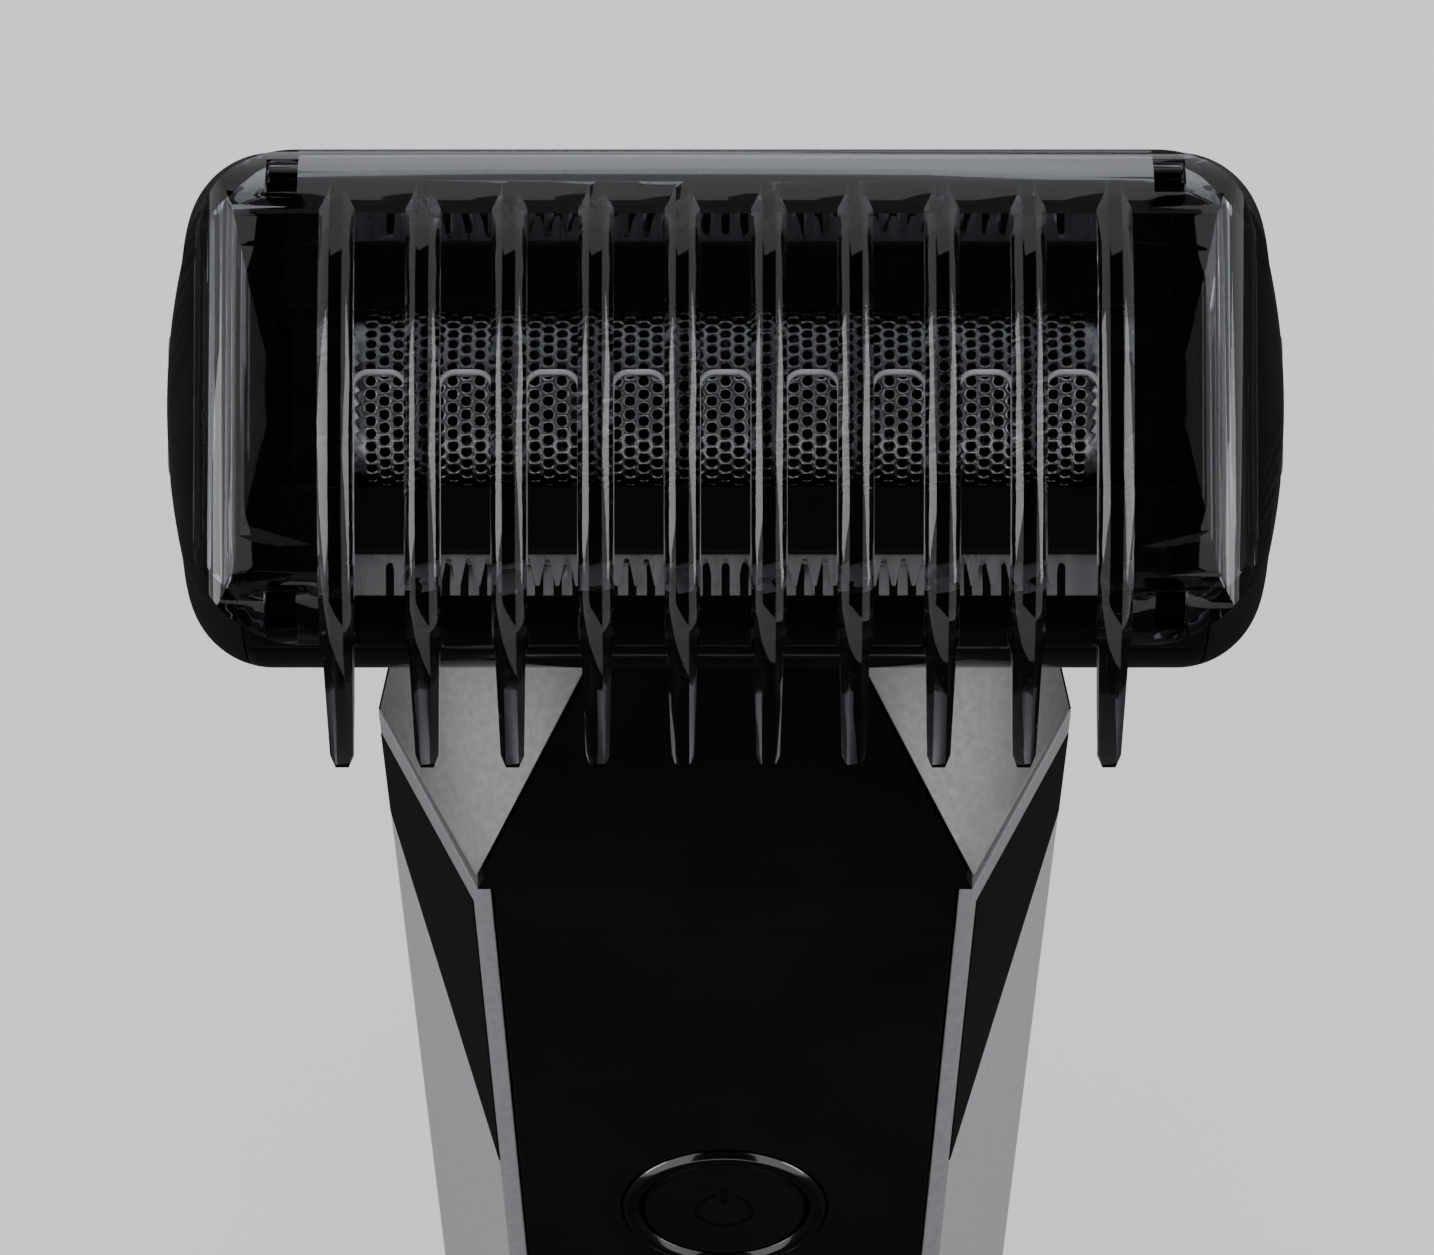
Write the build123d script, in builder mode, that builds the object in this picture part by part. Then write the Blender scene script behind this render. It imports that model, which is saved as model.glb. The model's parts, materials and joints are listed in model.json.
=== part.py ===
from build123d import *

import math
import os

os.makedirs("parts", exist_ok=True)

# Hair clipper with a wide tilting shaver head, a clear comb guard and an upright faceted handle.
# Sizes are in mm. +Z is up, the front faces -Y, and the origin is the centre of the base face.

# Handle outline: six-sided, wider at the top, with every side flat.
cap_top_z = 4.9
lip_top_z = 6.6
shell_low_z = 5.0
panel_top_z = 110.5
ledge_z = 115.0
neck_top_z = 138.0
neck_front_half = 0.5
skin = 1.8
panel_half_base = 10.9
panel_half_gain = 3.4
depth_base = 12.0
depth_gain = 1.0
front_flare = 0.47
rear_flare = 0.581
seam = 0.15
far = 40

# Side seam between the light side shells and the dark shoulder, as (y, z) points.
seam_front = (-13.0, 83.0)
seam_middle = (0.0, 105.0)
seam_rear = (8.15, 110.15)

# Head: a barrel across the handle, tipped forward, with its pivot on the barrel's axis.
head_origin = Vector(0, -3, 146)
head_tilt = 35.0
barrel_radius = 14.1
corner_radius = 4.6
corner_x = 24.7
corner_r = 9.5
dome_x = 30.5
head_wall = 1.6
joint_x = 25.9
cap_x = 26.0
face_w = 7.0
housing_top_w = 4.6
drive_travel = 1.1

# Pivot and drive.
ear_x = 8.0
ear_thickness = 2.2
ear_radius = 2.2
pin_radius = 1.2
pin_gap = 0.05
saddle_radius = 14.5
post_radius = 1.1
ball_radius = 1.6
bend_distance = 17.0
motor_y = 3.0
orbit = 1.1

# Foil, cutter and trimmers.
foil_radius = 5.3
foil_thickness = 0.2
foil_half = 20.0
foil_base_w = 4.7
cutter_radius = 4.85
lamella_pitch = 1.25
lamella_count = 29
lamella_thickness = 0.25
tooth_pitch = 1.0
moving_tooth_pitch = 1.06
slot_width = 0.45
slot_depth = 1.75
blade_half = 20.0

# Comb guard.
comb_half_x = 28.5
comb_half_v = 13.3
comb_crown = 12.8
comb_bottom = 7.05
comb_wall = 1.1
rib_pitch = 4.58
rib_count = 10
rib_core = 0.35
rib_half = 0.94
rib_slope = 40
comb_slot_width = 2.7
slot_end_v = 0.8
catch_x = 23.6

# Buttons and fittings.
button_z = 81.0
indicator_z = 67.5
button_radius = 5.05
socket_y = 4.5
socket_bore = 1.8
lower_screw = (7.6, 8.8)
upper_screw = (9.0, 103.5)

along = Vector(1, 0, 0)
back = Vector(0, math.cos(math.radians(head_tilt)), math.sin(math.radians(head_tilt)))
out = Vector(0, -math.sin(math.radians(head_tilt)), math.cos(math.radians(head_tilt)))
long_plane = Plane(origin=head_origin, x_dir=along, z_dir=-back)
fore_and_aft = Plane(origin=head_origin, x_dir=along, z_dir=back)


def face_plane(w):
    """A plane parallel to the shaving face, w above the pivot. Its sketch axes are x and v."""
    return Plane(origin=head_origin + out * w, x_dir=along, z_dir=out)


def side_plane(x):
    """A plane across the head at x. Its sketch axes are v (to the rear) and w (out of the face)."""
    return Plane(origin=head_origin + along * x, x_dir=back, z_dir=along)


def block(x_span, v_span, w_span):
    """A box square to the head."""
    middle = ((x_span[0] + x_span[1]) / 2, (v_span[0] + v_span[1]) / 2)
    with BuildPart() as solid:
        with BuildSketch(face_plane(w_span[0])):
            with Locations(middle):
                Rectangle(x_span[1] - x_span[0], v_span[1] - v_span[0])
        extrude(amount=w_span[1] - w_span[0])
    return solid.part


def upright_block(x_span, y_span, z_span):
    """A box square to the handle."""
    middle = ((x_span[0] + x_span[1]) / 2, (y_span[0] + y_span[1]) / 2)
    with BuildPart() as solid:
        with BuildSketch(Plane.XY.offset(z_span[0])):
            with Locations(middle):
                Rectangle(x_span[1] - x_span[0], y_span[1] - y_span[0])
        extrude(amount=z_span[1] - z_span[0])
    return solid.part


def upright_rod(x, y, radius, z_span):
    """A round bar standing at x, y."""
    with BuildPart() as solid:
        with BuildSketch(Plane.XY.offset(z_span[0])):
            with Locations((x, y)):
                Circle(radius)
        extrude(amount=z_span[1] - z_span[0])
    return solid.part


def depth_rod(x, z, radius, y_span):
    """A round bar running front to back at x, z."""
    with BuildPart() as solid:
        with BuildSketch(Plane(origin=(x, y_span[0], z), x_dir=(1, 0, 0), z_dir=(0, 1, 0))):
            Circle(radius)
        extrude(amount=y_span[1] - y_span[0])
    return solid.part


def cross_rod(radius, x_span):
    """A round bar on the pivot axis."""
    with BuildPart() as solid:
        with BuildSketch(side_plane(x_span[0])):
            Circle(radius)
        extrude(amount=x_span[1] - x_span[0])
    return solid.part


def mirrored(solid, plane):
    """The same piece on the other side of a plane."""
    with BuildPart() as other:
        add(solid.mirror(plane))
    return other


def prism(low_z, low_points, high_z, high_points, inset):
    """A straight-sided solid between two outlines, shrunk by inset all round."""
    with BuildPart() as solid:
        for z, points in ((low_z, low_points), (high_z, high_points)):
            with BuildSketch(Plane.XY.offset(z)):
                Polygon(*points, align=None)
                if inset:
                    offset(amount=-inset, kind=Kind.INTERSECTION)
        loft(ruled=True)
    return solid.part


def panel_half(z):
    """Half the width of the flat front at height z."""
    return panel_half_base + panel_half_gain * z / ledge_z


def depth(z):
    """How far the front and rear faces stand from the middle at height z."""
    return depth_base + depth_gain * z / ledge_z


def outline(front_half, front_y, side_half, side_y, rear_half, rear_y):
    """A six-sided outline, the same on the left and right."""
    return (
        (-front_half, front_y),
        (front_half, front_y),
        (side_half, side_y),
        (rear_half, rear_y),
        (-rear_half, rear_y),
        (-side_half, side_y),
    )


def handle_outline(z):
    """The handle's outline at height z."""
    side_half = panel_half(z) + front_flare * depth(z)
    return outline(panel_half(z), -depth(z), side_half, 0, side_half - rear_flare * depth(z), depth(z))


def handle(low_z, high_z, inset):
    """The handle's solid between two heights."""
    return prism(low_z, handle_outline(low_z), high_z, handle_outline(high_z), inset)


neck_low_outline = handle_outline(ledge_z)
neck_high_outline = outline(neck_front_half, 3.1, 15.4, 6.0, 10.0, 10.5)


def neck(inset):
    """The neck's solid from the ledge up."""
    return prism(ledge_z, neck_low_outline, neck_top_z, neck_high_outline, inset)


def handle_zone(low_z, high_z, inner_x, front_gap, rear_y=None, rear_gap=0.0):
    """A tapered zone at the side: inner_x is from the panel's edge and gaps are from the front face."""
    outlines = []
    for z in (low_z, high_z):
        inner = panel_half(z) + inner_x
        near = front_gap - depth(z)
        rear = rear_gap - depth(z) if rear_y is None else rear_y
        outlines.append(((inner, near), (far, near), (far, rear), (inner, rear)))
    return prism(low_z, outlines[0], high_z, outlines[1], 0)


def barrel(inset):
    """The whole barrel with domed ends, shrunk by inset."""
    arc_x = corner_x + (corner_radius - inset) * math.cos(math.radians(45))
    arc_r = corner_r + (corner_radius - inset) * math.sin(math.radians(45))
    edge_x = corner_x + corner_radius - inset
    with BuildPart() as solid:
        with BuildSketch(long_plane):
            with BuildLine():
                Polyline((0, 0), (0, barrel_radius - inset), (corner_x, barrel_radius - inset))
                ThreePointArc((corner_x, barrel_radius - inset), (arc_x, arc_r), (edge_x, corner_r))
                ThreePointArc((edge_x, corner_r), (dome_x - inset - 0.3, corner_r / 2), (dome_x - inset, 0))
                Line((dome_x - inset, 0), (0, 0))
            make_face()
        revolve(axis=Axis(head_origin, along))
        mirror(about=Plane.YZ)
    return solid.part


# ---------------------------------------------------------------- head shell

barrel_outer = barrel(0)
barrel_inner = barrel(head_wall)
bulkhead = 1.5
housing_cavity = barrel_inner & block((bulkhead - joint_x, joint_x - bulkhead), (-far, far), (-far, far))
webs = ((5.9, 6.7), (9.3, 10.3))
web_reach = 12.9
web_span = (-2.3, 1.2)
web_boss = 2.3
shelf_x = (20.4, 24.6)
shelf_w = (-1.2, 0.4)
head_screw_x = 19.0
head_screw_seat = -12.9

with BuildPart() as head_housing:
    add(barrel_outer & block((-joint_x, joint_x), (-far, far), (-far, housing_top_w)))
    add(housing_cavity, mode=Mode.SUBTRACT)
    for side in (-1, 1):
        for web in webs:
            low_x = min(side * web[0], side * web[1])
            with BuildSketch(side_plane(low_x)):
                Circle(web_boss)
                with Locations((0, sum(web_span) / 2)):
                    Rectangle(2 * web_reach, web_span[1] - web_span[0])
            extrude(amount=web[1] - web[0])
        shelf_low_x = min(side * shelf_x[0], side * shelf_x[1])
        add(block((shelf_low_x, shelf_low_x + shelf_x[1] - shelf_x[0]), (-4, 4), shelf_w))
        with BuildSketch(face_plane(-13.2)):
            with Locations((side * head_screw_x, 0)):
                Circle(2.4)
        extrude(amount=5.2)
    add(cross_rod(pin_radius, (-10.4, 10.4)), mode=Mode.SUBTRACT)
    for side in (-1, 1):
        with BuildSketch(face_plane(-15)):
            with Locations((side * head_screw_x, 0)):
                Circle(1.6)
        extrude(amount=15 + head_screw_seat, mode=Mode.SUBTRACT)
        with BuildSketch(face_plane(head_screw_seat)):
            with Locations((side * head_screw_x, 0)):
                Circle(0.7)
        extrude(amount=4, mode=Mode.SUBTRACT)
        add(block((side * ear_x - 1.6, side * ear_x + 1.6), (-4.7, 4.7), (-15, -6)), mode=Mode.SUBTRACT)
    add(block((-3.3, 3.3), (-4.6, 4.6), (-15, -6)), mode=Mode.SUBTRACT)
window_x = 23.9
window_v = 10.75

with BuildPart() as head_cover:
    add(barrel_outer & block((-joint_x, joint_x), (-far, far), (housing_top_w + 0.1, face_w)))
    add(block((-window_x, window_x), (-window_v, window_v), (0, far)), mode=Mode.SUBTRACT)
    for x in (-catch_x, catch_x):
        for side in (-1, 1):
            tab = sorted((side * 10.9, side * 11.7))
            add(block((x - 0.8, x + 0.8), tab, (face_w - 0.2, face_w + 2.2)))

button_v = 4.0
button_w = (-2.5, 4.5)
button_gap = 0.15
flange_x = (27.2, 28.0)
flange_edge = 0.7
button_face_x = 30.2
roof_w = 5.4

with BuildPart() as end_cap_right:
    add(barrel_outer & block((cap_x, far), (-far, far), (-far, face_w)))
    add(barrel_inner & block((cap_x - 1, far), (-far, far), (-far, roof_w)), mode=Mode.SUBTRACT)
    with BuildSketch(side_plane(flange_x[1])):
        with Locations((0, sum(button_w) / 2)):
            RectangleRounded(2 * (button_v + button_gap), button_w[1] - button_w[0] + 2 * button_gap, 1.3)
    extrude(amount=6, mode=Mode.SUBTRACT)
end_cap_left = mirrored(end_cap_right.part, Plane.YZ)

with BuildPart() as release_button_right:
    with BuildSketch(side_plane(flange_x[0])):
        with Locations((0, sum(button_w) / 2)):
            RectangleRounded(2 * button_v, button_w[1] - button_w[0], 1.2)
    extrude(amount=button_face_x - flange_x[0])
    fillet(release_button_right.edges().group_by(Axis.X)[-1], 0.4)
    flange_span = (button_w[0] - flange_edge, button_w[1] + flange_edge)
    add(block(flange_x, (-button_v - flange_edge, button_v + flange_edge), flange_span))
    for groove_w in (-0.8, 1.0, 2.8):
        groove = block((button_face_x - 0.35, far), (-2.6, 2.6), (groove_w - 0.25, groove_w + 0.25))
        add(groove, mode=Mode.SUBTRACT)
release_button_left = mirrored(release_button_right.part, Plane.YZ)


def coil(base, direction, coil_radius, wire_radius, length, turns):
    """A coil spring standing on base."""
    pitch = (length - 2 * wire_radius) / turns
    start = base + direction * wire_radius
    with BuildPart() as solid:
        with BuildLine():
            path = Helix(pitch, pitch * turns, coil_radius, center=start, direction=direction)
        with BuildSketch(Plane(origin=path @ 0, z_dir=path % 0)):
            Circle(wire_radius)
        sweep(path=path, is_frenet=True)
    return solid.part


spring_x = 21.9
with BuildPart() as foil_springs:
    for x in (-spring_x, spring_x):
        add(coil(head_origin + along * x + out * shelf_w[1], out, 1.2, 0.2, 2.98, 4))

with BuildPart() as release_springs:
    spring_length = flange_x[0] - joint_x - 0.02
    spring_offset = out * 1.0
    add(coil(head_origin + along * joint_x + spring_offset, along, 1.5, 0.15, spring_length, 3))
    add(coil(head_origin - along * joint_x + spring_offset, -along, 1.5, 0.15, spring_length, 3))

with BuildPart() as head_screws:
    for x in (-head_screw_x, head_screw_x):
        with BuildSketch(face_plane(head_screw_seat)):
            with Locations((x, 0)):
                Circle(0.7)
        extrude(amount=3.8)
        with BuildSketch(face_plane(head_screw_seat - 0.9)):
            with Locations((x, 0)):
                Circle(1.5)
        extrude(amount=0.9)
        add(
            block((x - 1.1, x + 1.1), (-0.2, 0.2), (head_screw_seat - 1, head_screw_seat - 0.5)),
            mode=Mode.SUBTRACT,
        )
        add(
            block((x - 0.2, x + 0.2), (-1.1, 1.1), (head_screw_seat - 1, head_screw_seat - 0.5)),
            mode=Mode.SUBTRACT,
        )

with BuildPart() as pivot_pins:
    for side in (-1, 1):
        add(cross_rod(pin_radius, tuple(sorted((side * 5.95, side * 10.25)))))

# ---------------------------------------------------------------- trimmers

holder_half = 23.7
holder_v = (6.1, 10.6)
land_v = 8.4
land_inner_v = 4.75
land_low_w = 7.55
land_w = 8.1
holder_low_w = 4.9
blade_seat_w = 6.85
blade_thickness = 0.3
moving_w = (7.2, 7.45)
pocket_half = 20.2
pocket_top_w = 7.5
blade_back_v = 7.75
tooth_tip_v = 10.55
leg_half = 4.5
leg_v = (7.0, 7.6)
finger_x = (3.3, 4.5)
finger_w = (1.0, 2.0)
moving_half = 18.5

with BuildPart() as rear_trimmer_holder:
    add(block((-holder_half, holder_half), holder_v, (holder_low_w, blade_seat_w)))
    add(block((-holder_half, holder_half), (holder_v[0], land_v), (holder_low_w, land_w)))
    add(block((-holder_half, holder_half), (land_inner_v, land_v), (land_low_w, land_w)))
    add(
        block((-pocket_half, pocket_half), (6.9, land_v + 1), (blade_seat_w, pocket_top_w)),
        mode=Mode.SUBTRACT,
    )
    leg_slot = leg_half + drive_travel + 0.2
    add(block((-leg_slot, leg_slot), (6.85, 7.72), (holder_low_w - 1, pocket_top_w)), mode=Mode.SUBTRACT)
    land_edges = (
        rear_trimmer_holder.edges().filter_by(Axis(head_origin, along)).group_by(Axis(head_origin, out))[-1]
    )
    fillet(land_edges, 0.35)
front_trimmer_holder = mirrored(rear_trimmer_holder.part, fore_and_aft)

with BuildPart() as rear_fixed_blade:
    with BuildSketch(face_plane(blade_seat_w)):
        with Locations((0, (blade_back_v + tooth_tip_v) / 2)):
            Rectangle(2 * blade_half, tooth_tip_v - blade_back_v)
        with Locations((0, tooth_tip_v - slot_depth / 2 + slot_width / 2)):
            with GridLocations(tooth_pitch, 1, 37, 1):
                SlotOverall(slot_depth + slot_width, slot_width, rotation=90, mode=Mode.SUBTRACT)
    extrude(amount=blade_thickness)
front_fixed_blade = mirrored(rear_fixed_blade.part, fore_and_aft)

with BuildPart() as rear_moving_blade:
    with BuildSketch(face_plane(moving_w[0])):
        with Locations((0, (leg_v[0] + 8.6) / 2)):
            Rectangle(2 * moving_half, 8.6 - leg_v[0])
        with Locations((0, 8.55)):
            with GridLocations(moving_tooth_pitch, 1, 34, 1):
                Polygon((-0.42, 0), (0.42, 0), (0.1, 1.5), (-0.1, 1.5), align=None)
    extrude(amount=moving_w[1] - moving_w[0])
    add(block((-leg_half, leg_half), leg_v, (finger_w[0], moving_w[0])))
    for span in (finger_x, (-finger_x[1], -finger_x[0])):
        add(block(span, (0.2, leg_v[1]), finger_w))
front_moving_blade = mirrored(rear_moving_blade.part, fore_and_aft)

# ---------------------------------------------------------------- foil and cutter

frame_w = (3.4, 7.4)
frame_half = 23.2
frame_v = 5.95
frame_bore_half = 20.5
cheek_thickness = 1.1

with BuildPart() as foil_frame:
    add(block((-frame_half, frame_half), (-frame_v, frame_v), frame_w))
    bore_v = foil_radius + 0.02
    add(block((-frame_bore_half, frame_bore_half), (-bore_v, bore_v), (0, far)), mode=Mode.SUBTRACT)
    for side in (-1, 1):
        cheek = sorted((side * (foil_half + 0.05), side * (foil_half + cheek_thickness)))
        with BuildSketch(side_plane(cheek[0])):
            with BuildLine():
                Line((foil_radius - 0.1, frame_w[0]), (foil_radius - 0.1, foil_base_w))
                ThreePointArc(
                    (foil_radius - 0.1, foil_base_w),
                    (0, foil_base_w + foil_radius - 0.1),
                    (0.1 - foil_radius, foil_base_w),
                )
                Line((0.1 - foil_radius, foil_base_w), (0.1 - foil_radius, frame_w[0]))
                Line((0.1 - foil_radius, frame_w[0]), (foil_radius - 0.1, frame_w[0]))
            make_face()
        extrude(amount=cheek[1] - cheek[0])
        add(block(tuple(sorted((side * 20.6, side * 21.5))), (-bore_v, bore_v), frame_w))


def arch(x_low, x_high, outer, inner, low_w):
    """A half-round band over the cutter, with straight skirts down to low_w."""
    with BuildPart() as solid:
        with BuildSketch(side_plane(x_low)):
            for radius, mode in ((outer, Mode.ADD), (inner, Mode.SUBTRACT)):
                with Locations((0, foil_base_w)):
                    Circle(radius, mode=mode)
                with Locations((0, (foil_base_w + low_w) / 2)):
                    Rectangle(2 * radius, foil_base_w - low_w, mode=mode)
            with Locations((0, low_w - far / 2)):
                Rectangle(far, far, mode=Mode.SUBTRACT)
        extrude(amount=x_high - x_low)
    return solid.part


with BuildPart() as foil:
    add(arch(-foil_half, foil_half, foil_radius, foil_radius - foil_thickness, 3.7))

carrier_half = 18.5
carrier_w = (3.9, 4.7)
prong_x = (1.65, 3.2)
prong_w = (-2.2, 3.9)

with BuildPart() as cutter_carrier:
    add(block((-carrier_half, carrier_half), (-cutter_radius, cutter_radius), carrier_w))
    for span in (prong_x, (-prong_x[1], -prong_x[0])):
        add(block(span, (-1.5, 1.5), prong_w))
    for x in (-14, -9, 9, 14):
        add(block((x - 1.6, x + 1.6), (-2.6, 2.6), (0, far)), mode=Mode.SUBTRACT)

with BuildPart() as cutter_blades:
    for side in (-1, 1):
        rail_v = tuple(sorted((side * 4.2, side * (cutter_radius - 0.05))))
        add(block((-carrier_half, carrier_half), rail_v, (carrier_w[1], carrier_w[1] + 0.4)))
    for number in range(lamella_count):
        x = (number - (lamella_count - 1) / 2) * lamella_pitch - lamella_thickness / 2
        add(arch(x, x + lamella_thickness, cutter_radius, 3.7, foil_base_w - 0.0001))

# ---------------------------------------------------------------- comb guard


def comb_body(inset):
    """The comb's rounded cap, shrunk by inset."""
    half_v = comb_half_v - inset
    half_x = comb_half_x - inset
    crown = comb_crown - inset
    shoulder_v = 9.3 - inset / 2
    shoulder_w = 12.2 - inset
    with BuildPart() as solid:
        with BuildSketch(side_plane(-half_x)):
            with BuildLine():
                Polyline((-half_v, 8.6), (-half_v, 0), (half_v, 0), (half_v, 8.6))
                ThreePointArc((half_v, 8.6), (half_v - 1.15, 11.05 - inset * 0.8), (shoulder_v, shoulder_w))
                ThreePointArc((shoulder_v, shoulder_w), (0, crown), (-shoulder_v, shoulder_w))
                ThreePointArc(
                    (-shoulder_v, shoulder_w), (1.15 - half_v, 11.05 - inset * 0.8), (-half_v, 8.6)
                )
            make_face()
        extrude(amount=2 * half_x)
        with BuildSketch(face_plane(0)):
            RectangleRounded(2 * half_x, 2 * half_v, 6 - inset)
        extrude(amount=30, mode=Mode.INTERSECT)
        with BuildSketch(long_plane):
            RectangleRounded(2 * half_x, 2 * crown, 4.6 - inset)
        extrude(amount=30, both=True, mode=Mode.INTERSECT)
    return solid.part


rib_points = (
    (12.7, 9.4), (11.4, 11.6), (9.4, 13.0), (6.5, 13.8), (3.0, 14.2), (0, 14.3), (-3.0, 14.2),
    (-6.5, 13.9), (-10.0, 13.0), (-13.5, 11.3), (-16.5, 8.9), (-19.1, 6.7), (-19.8, 5.8), (-19.2, 5.1),
    (-16.2, 6.3), (-13.0, 8.3), (-11.5, 8.6), (-11, 8), (11, 8),
)


def rib_side(x, direction):
    """Half of a rib: a flat-topped core and a slope down to its full width."""
    with BuildPart() as solid:
        for start, thickness, slope in ((0, rib_core, 0), (rib_core, rib_half - rib_core, rib_slope)):
            plane = side_plane(x + direction * start)
            with BuildSketch(plane):
                Polygon(*rib_points, align=None)
            extrude(amount=direction * thickness, taper=slope)
    return solid.part


def rib(x):
    """One rib, from the rear shoulder over the crown to the free tine tip in front."""
    with BuildPart() as solid:
        add(rib_side(x, 1))
        add(rib_side(x, -1))
        with BuildSketch(face_plane(0)):
            with Locations((x, 0)):
                Polygon(
                    (-0.95, 13), (-0.95, -13.3), (-0.8, -13.6), (-0.62, -19.1), (-0.35, -19.75),
                    (0.35, -19.75), (0.62, -19.1), (0.8, -13.6), (0.95, -13.3), (0.95, 13), align=None,
                )
        extrude(amount=30, mode=Mode.INTERSECT)
    return solid.part


with BuildPart() as comb_guard:
    add(comb_body(0))
    add(block((-far, far), (-far, far), (-far, comb_bottom)), mode=Mode.SUBTRACT)
    with BuildSketch(face_plane(comb_bottom - 1)):
        with Locations((0, slot_end_v - 10)):
            with GridLocations(rib_pitch, 1, rib_count - 1, 1):
                RectangleRounded(comb_slot_width, 20, 0.8)
    extrude(amount=20, mode=Mode.SUBTRACT)
    for number in range(rib_count):
        add(rib((number - (rib_count - 1) / 2) * rib_pitch))
    add(comb_body(comb_wall), mode=Mode.SUBTRACT)
    for x in (-catch_x, catch_x):
        for side in (-1, 1):
            window = tuple(sorted((side * 10.6, side * 12.5)))
            add(block((x - 0.85, x + 0.85), window, (comb_bottom, 20)), mode=Mode.SUBTRACT)

# ---------------------------------------------------------------- handle shell

tube = handle(shell_low_z, ledge_z, 0) - handle(shell_low_z - 1, ledge_z + 1, skin)
tube_skin = handle(shell_low_z, ledge_z, 0) - handle(shell_low_z - 1, ledge_z + 1, 0.75)
rail_edge = 0.8
rail_depth = 0.75
strip_low_z = 112.8
strip_rear_y = 1.2
trim_gap = 0.25


def side_region(points):
    """A region seen from the side, given as (y, z) points and running right across."""
    with BuildPart() as solid:
        with BuildSketch(Plane(origin=(-far, 0, 0), x_dir=(0, 1, 0), z_dir=(1, 0, 0))):
            Polygon(*points, align=None)
        extrude(amount=2 * far)
    return solid.part


def above_seam(lift):
    """Everything above the slanting side seam."""
    return side_region((
        (-far, seam_front[1] - (far + seam_front[0]) * 22 / 13 + lift),
        (seam_middle[0], seam_middle[1] + lift),
        (seam_rear[0] + 0.01, seam_rear[1] + lift),
        (far, seam_rear[1] + lift),
        (far, 200),
        (-far, 200),
    ))


with BuildPart() as front_panel:
    add(tube)
    panel_low = panel_half(shell_low_z) - rail_edge - seam
    panel_high = panel_half(panel_top_z) - rail_edge - seam
    low_front = ((-panel_low, -far), (panel_low, -far), (panel_low, -9.6), (-panel_low, -9.6))
    high_front = ((-panel_high, -far), (panel_high, -far), (panel_high, -9.6), (-panel_high, -9.6))
    add(prism(shell_low_z, low_front, panel_top_z - 0.1, high_front, 0), mode=Mode.INTERSECT)
    for radius, z in ((6.35, button_z), (1.03, indicator_z)):
        add(depth_rod(0, z, radius, (-20, -5)), mode=Mode.SUBTRACT)

corner_zone = handle_zone(shell_low_z, ledge_z, -rail_edge, -5, rear_gap=rail_depth)
strip_zone = handle_zone(strip_low_z, ledge_z, -rail_edge, -5, strip_rear_y)
with BuildPart() as rail_right:
    add(tube & corner_zone)
    add(tube_skin & strip_zone)
rail_left = mirrored(rail_right.part, Plane.YZ)

side_zone = handle_zone(shell_low_z, ledge_z, -rail_edge, rail_depth + seam, 8.0)
with BuildPart() as side_shell_right:
    add(tube)
    add(side_zone, mode=Mode.INTERSECT)
    add(above_seam(-0.1), mode=Mode.SUBTRACT)
side_shell_left = mirrored(side_shell_right.part, Plane.YZ)


def facet_region(low_z, clearance):
    """The region over a corner facet of the neck, grown inwards and rearwards by clearance."""
    low_x = panel_half(ledge_z) - clearance
    high_x = neck_front_half - clearance
    low_points = ((low_x, -far), (far, -far), (far, clearance), (low_x, clearance))
    high_points = ((high_x, -far), (far, -far), (far, 6 + clearance), (high_x, 6 + clearance))
    return prism(low_z, low_points, neck_top_z, high_points, 0)


facet_zone = facet_region(ledge_z + trim_gap, -0.05)
pocket_zone = facet_region(ledge_z, 0.05)
facet_pocket = (neck(0) - neck(0.85)) & pocket_zone
strip_pocket = (handle(100, ledge_z, 0) - handle(99, ledge_z + 1, 0.85)) & handle_zone(
    strip_low_z - 0.1, ledge_z, -rail_edge - seam, -5, strip_rear_y + seam
)

with BuildPart() as facet_trim_right:
    add(neck(0) - neck(0.75))
    add(facet_zone, mode=Mode.INTERSECT)
    add(cross_rod(saddle_radius, (-far, far)), mode=Mode.SUBTRACT)
facet_trim_left = mirrored(facet_trim_right.part, Plane.YZ)

shoulder_side = (tube & side_zone) & above_seam(0)
ledge_half = panel_half(112) - rail_edge - seam
ledge_block = upright_block((-ledge_half, ledge_half), (-far, -9), (panel_top_z, ledge_z))
rear_block = upright_block((-far, far), (8.0, far), (seam_rear[1], ledge_z))
with BuildPart() as shoulder_housing:
    add(neck(0))
    add(neck(skin), mode=Mode.SUBTRACT)
    add(shoulder_side)
    add(shoulder_side.mirror(Plane.YZ))
    add(tube & ledge_block)
    add(tube & rear_block)
    for pocket in (facet_pocket, strip_pocket):
        add(pocket, mode=Mode.SUBTRACT)
        add(pocket.mirror(Plane.YZ), mode=Mode.SUBTRACT)
    add(cross_rod(saddle_radius, (-far, far)), mode=Mode.SUBTRACT)

screw_places = [(side * place[0], place[1]) for side in (-1, 1) for place in (lower_screw, upper_screw)]
with BuildPart() as rear_shell:
    add(tube & upright_block((-far, far), (8.15, far), (shell_low_z, seam_rear[1] - 0.1)))
    for x, z in screw_places:
        add(depth_rod(x, z, 2.0, (8.2, depth(z) - 0.5)))
    for x, z in screw_places:
        add(depth_rod(x, z, 1.65, (depth(z) - 1.5, 20)), mode=Mode.SUBTRACT)
        add(depth_rod(x, z, 0.8, (8, 20)), mode=Mode.SUBTRACT)

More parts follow.
